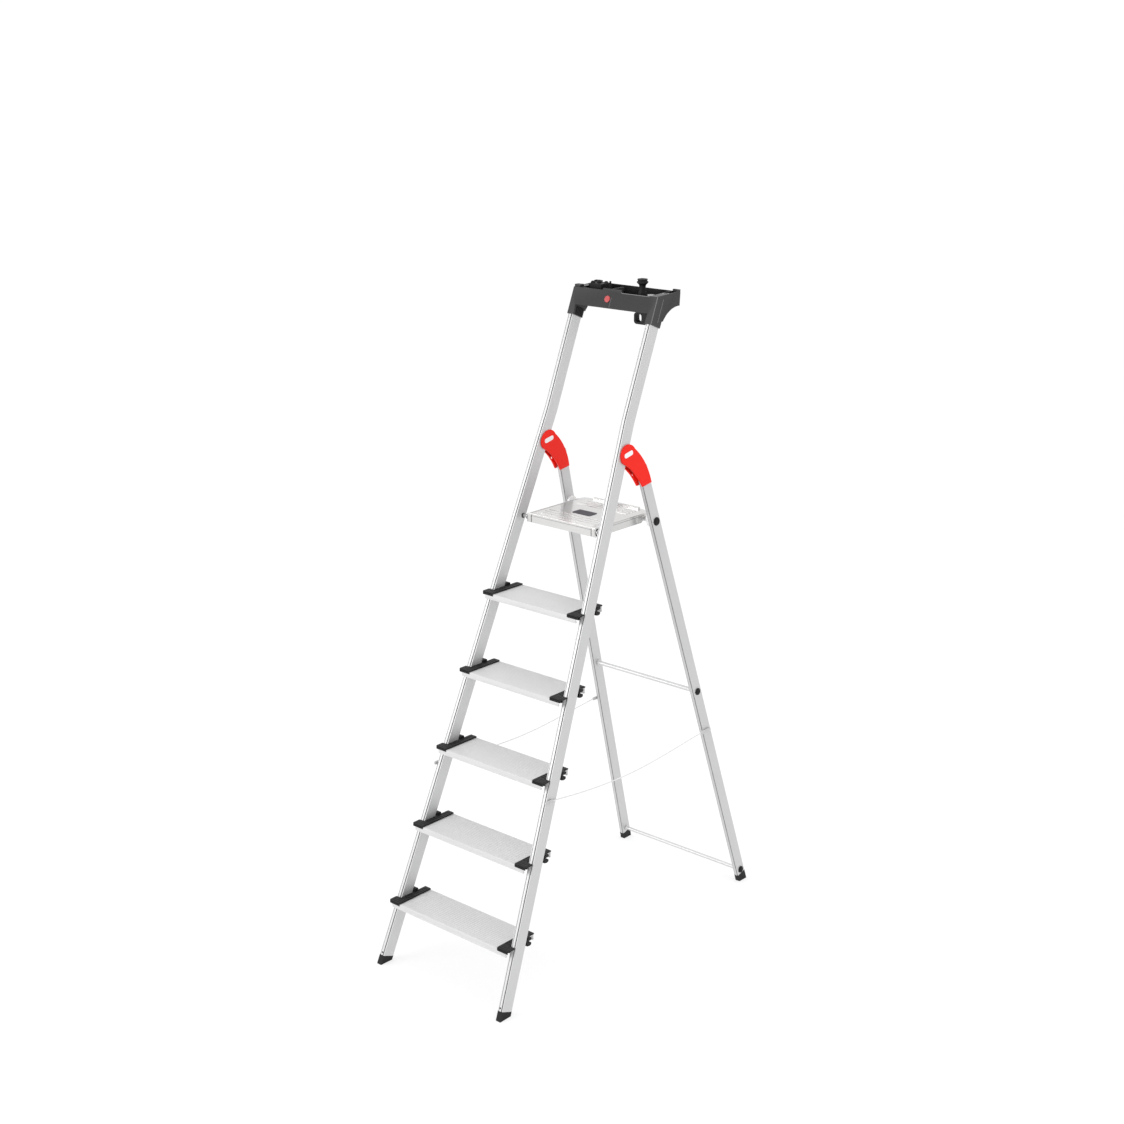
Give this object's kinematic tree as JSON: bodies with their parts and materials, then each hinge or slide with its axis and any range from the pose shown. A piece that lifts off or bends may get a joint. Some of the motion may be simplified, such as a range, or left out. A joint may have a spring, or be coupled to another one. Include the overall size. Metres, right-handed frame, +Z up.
{
  "type": "step ladder",
  "caption": "Folding household step ladder with flat treads, a standing platform, red folding hinges and a tool tray with a bucket ring on top.",
  "frame": {"origin": "middle of the footprint on the floor", "axes": "+Z up, -Y the climbing side, +Y towards the rear legs, +X to the climber's right"},
  "size_m": [0.4824, 1.1205, 1.878],
  "materials": {
    "aluminium_extrusion": "satin extruded",
    "aluminium_tread": "satin ribbed",
    "aluminium_rod": "satin drawn",
    "platform_metal": "light satin pressed",
    "black_plastic": "fine grained",
    "red_plastic": "semi-gloss moulded",
    "light_plate": "plain",
    "steel": "bright zinc",
    "cord_webbing": "braided",
    "grey_plastic": "moulded",
    "dark_label": "plain",
    "tray_plastic": "fine grained"
  },
  "bodies": {
    "frame": {"bucket_ring": "tray_plastic", "cord_clip_rail_left": "grey_plastic", "cord_clip_rail_right": "grey_plastic", "front_foot_left": "black_plastic", "front_foot_right": "black_plastic", "hinge_bolt_left": "steel", "hinge_bolt_right": "steel", "platform_pin_left": "steel", "platform_pin_right": "steel", "rail_left": "aluminium_extrusion", "rail_right": "aluminium_extrusion", "socket_screws": "steel", "spreader_cord_left": "cord_webbing", "spreader_cord_right": "cord_webbing", "tool_rack": "tray_plastic", "tray_badge": "red_plastic", "tray_body": "tray_plastic", "tray_divider": "tray_plastic", "tray_knob": "tray_plastic", "tread_1": "aluminium_tread", "tread_2": "aluminium_tread", "tread_3": "aluminium_tread", "tread_4": "aluminium_tread", "tread_5": "aluminium_tread", "tread_cap_1_left": "black_plastic", "tread_cap_1_right": "black_plastic", "tread_cap_2_left": "black_plastic", "tread_cap_2_right": "black_plastic", "tread_cap_3_left": "black_plastic", "tread_cap_3_right": "black_plastic", "tread_cap_4_left": "black_plastic", "tread_cap_4_right": "black_plastic", "tread_cap_5_left": "black_plastic", "tread_cap_5_right": "black_plastic"},
    "rear_frame": {"cord_clip_leg_left": "grey_plastic", "cord_clip_leg_right": "grey_plastic", "hinge_plate_left": "light_plate", "hinge_plate_right": "light_plate", "hinge_shell_left": "red_plastic", "hinge_shell_right": "red_plastic", "lower_brace": "aluminium_rod", "lower_brace_caps": "black_plastic", "platform_rod": "aluminium_rod", "platform_rod_caps": "black_plastic", "rear_foot_left": "black_plastic", "rear_foot_right": "black_plastic", "rear_leg_left": "aluminium_extrusion", "rear_leg_right": "aluminium_extrusion", "upper_brace": "aluminium_rod", "upper_brace_caps": "black_plastic"},
    "platform": {"platform_deck": "platform_metal", "platform_label": "dark_label"}
  },
  "joints": [
    {"name": "fold", "type": "hinge", "parent": "frame", "child": "rear_frame", "pos_m": [0, 0.04348, 1.425], "axis": [-1, 0, 0], "range_deg": [0, 38.9], "deforming": ["spreader_cord_left", "spreader_cord_right"]},
    {"name": "platform_tilt", "type": "hinge", "parent": "frame", "child": "platform", "pos_m": [0, -0.03412, 1.2219], "axis": [1, 0, 0], "range_deg": [0, 68]}
  ],
  "couplings": [
    {"joint": "platform_tilt", "follows": "fold", "ratio": 1.74}
  ]
}
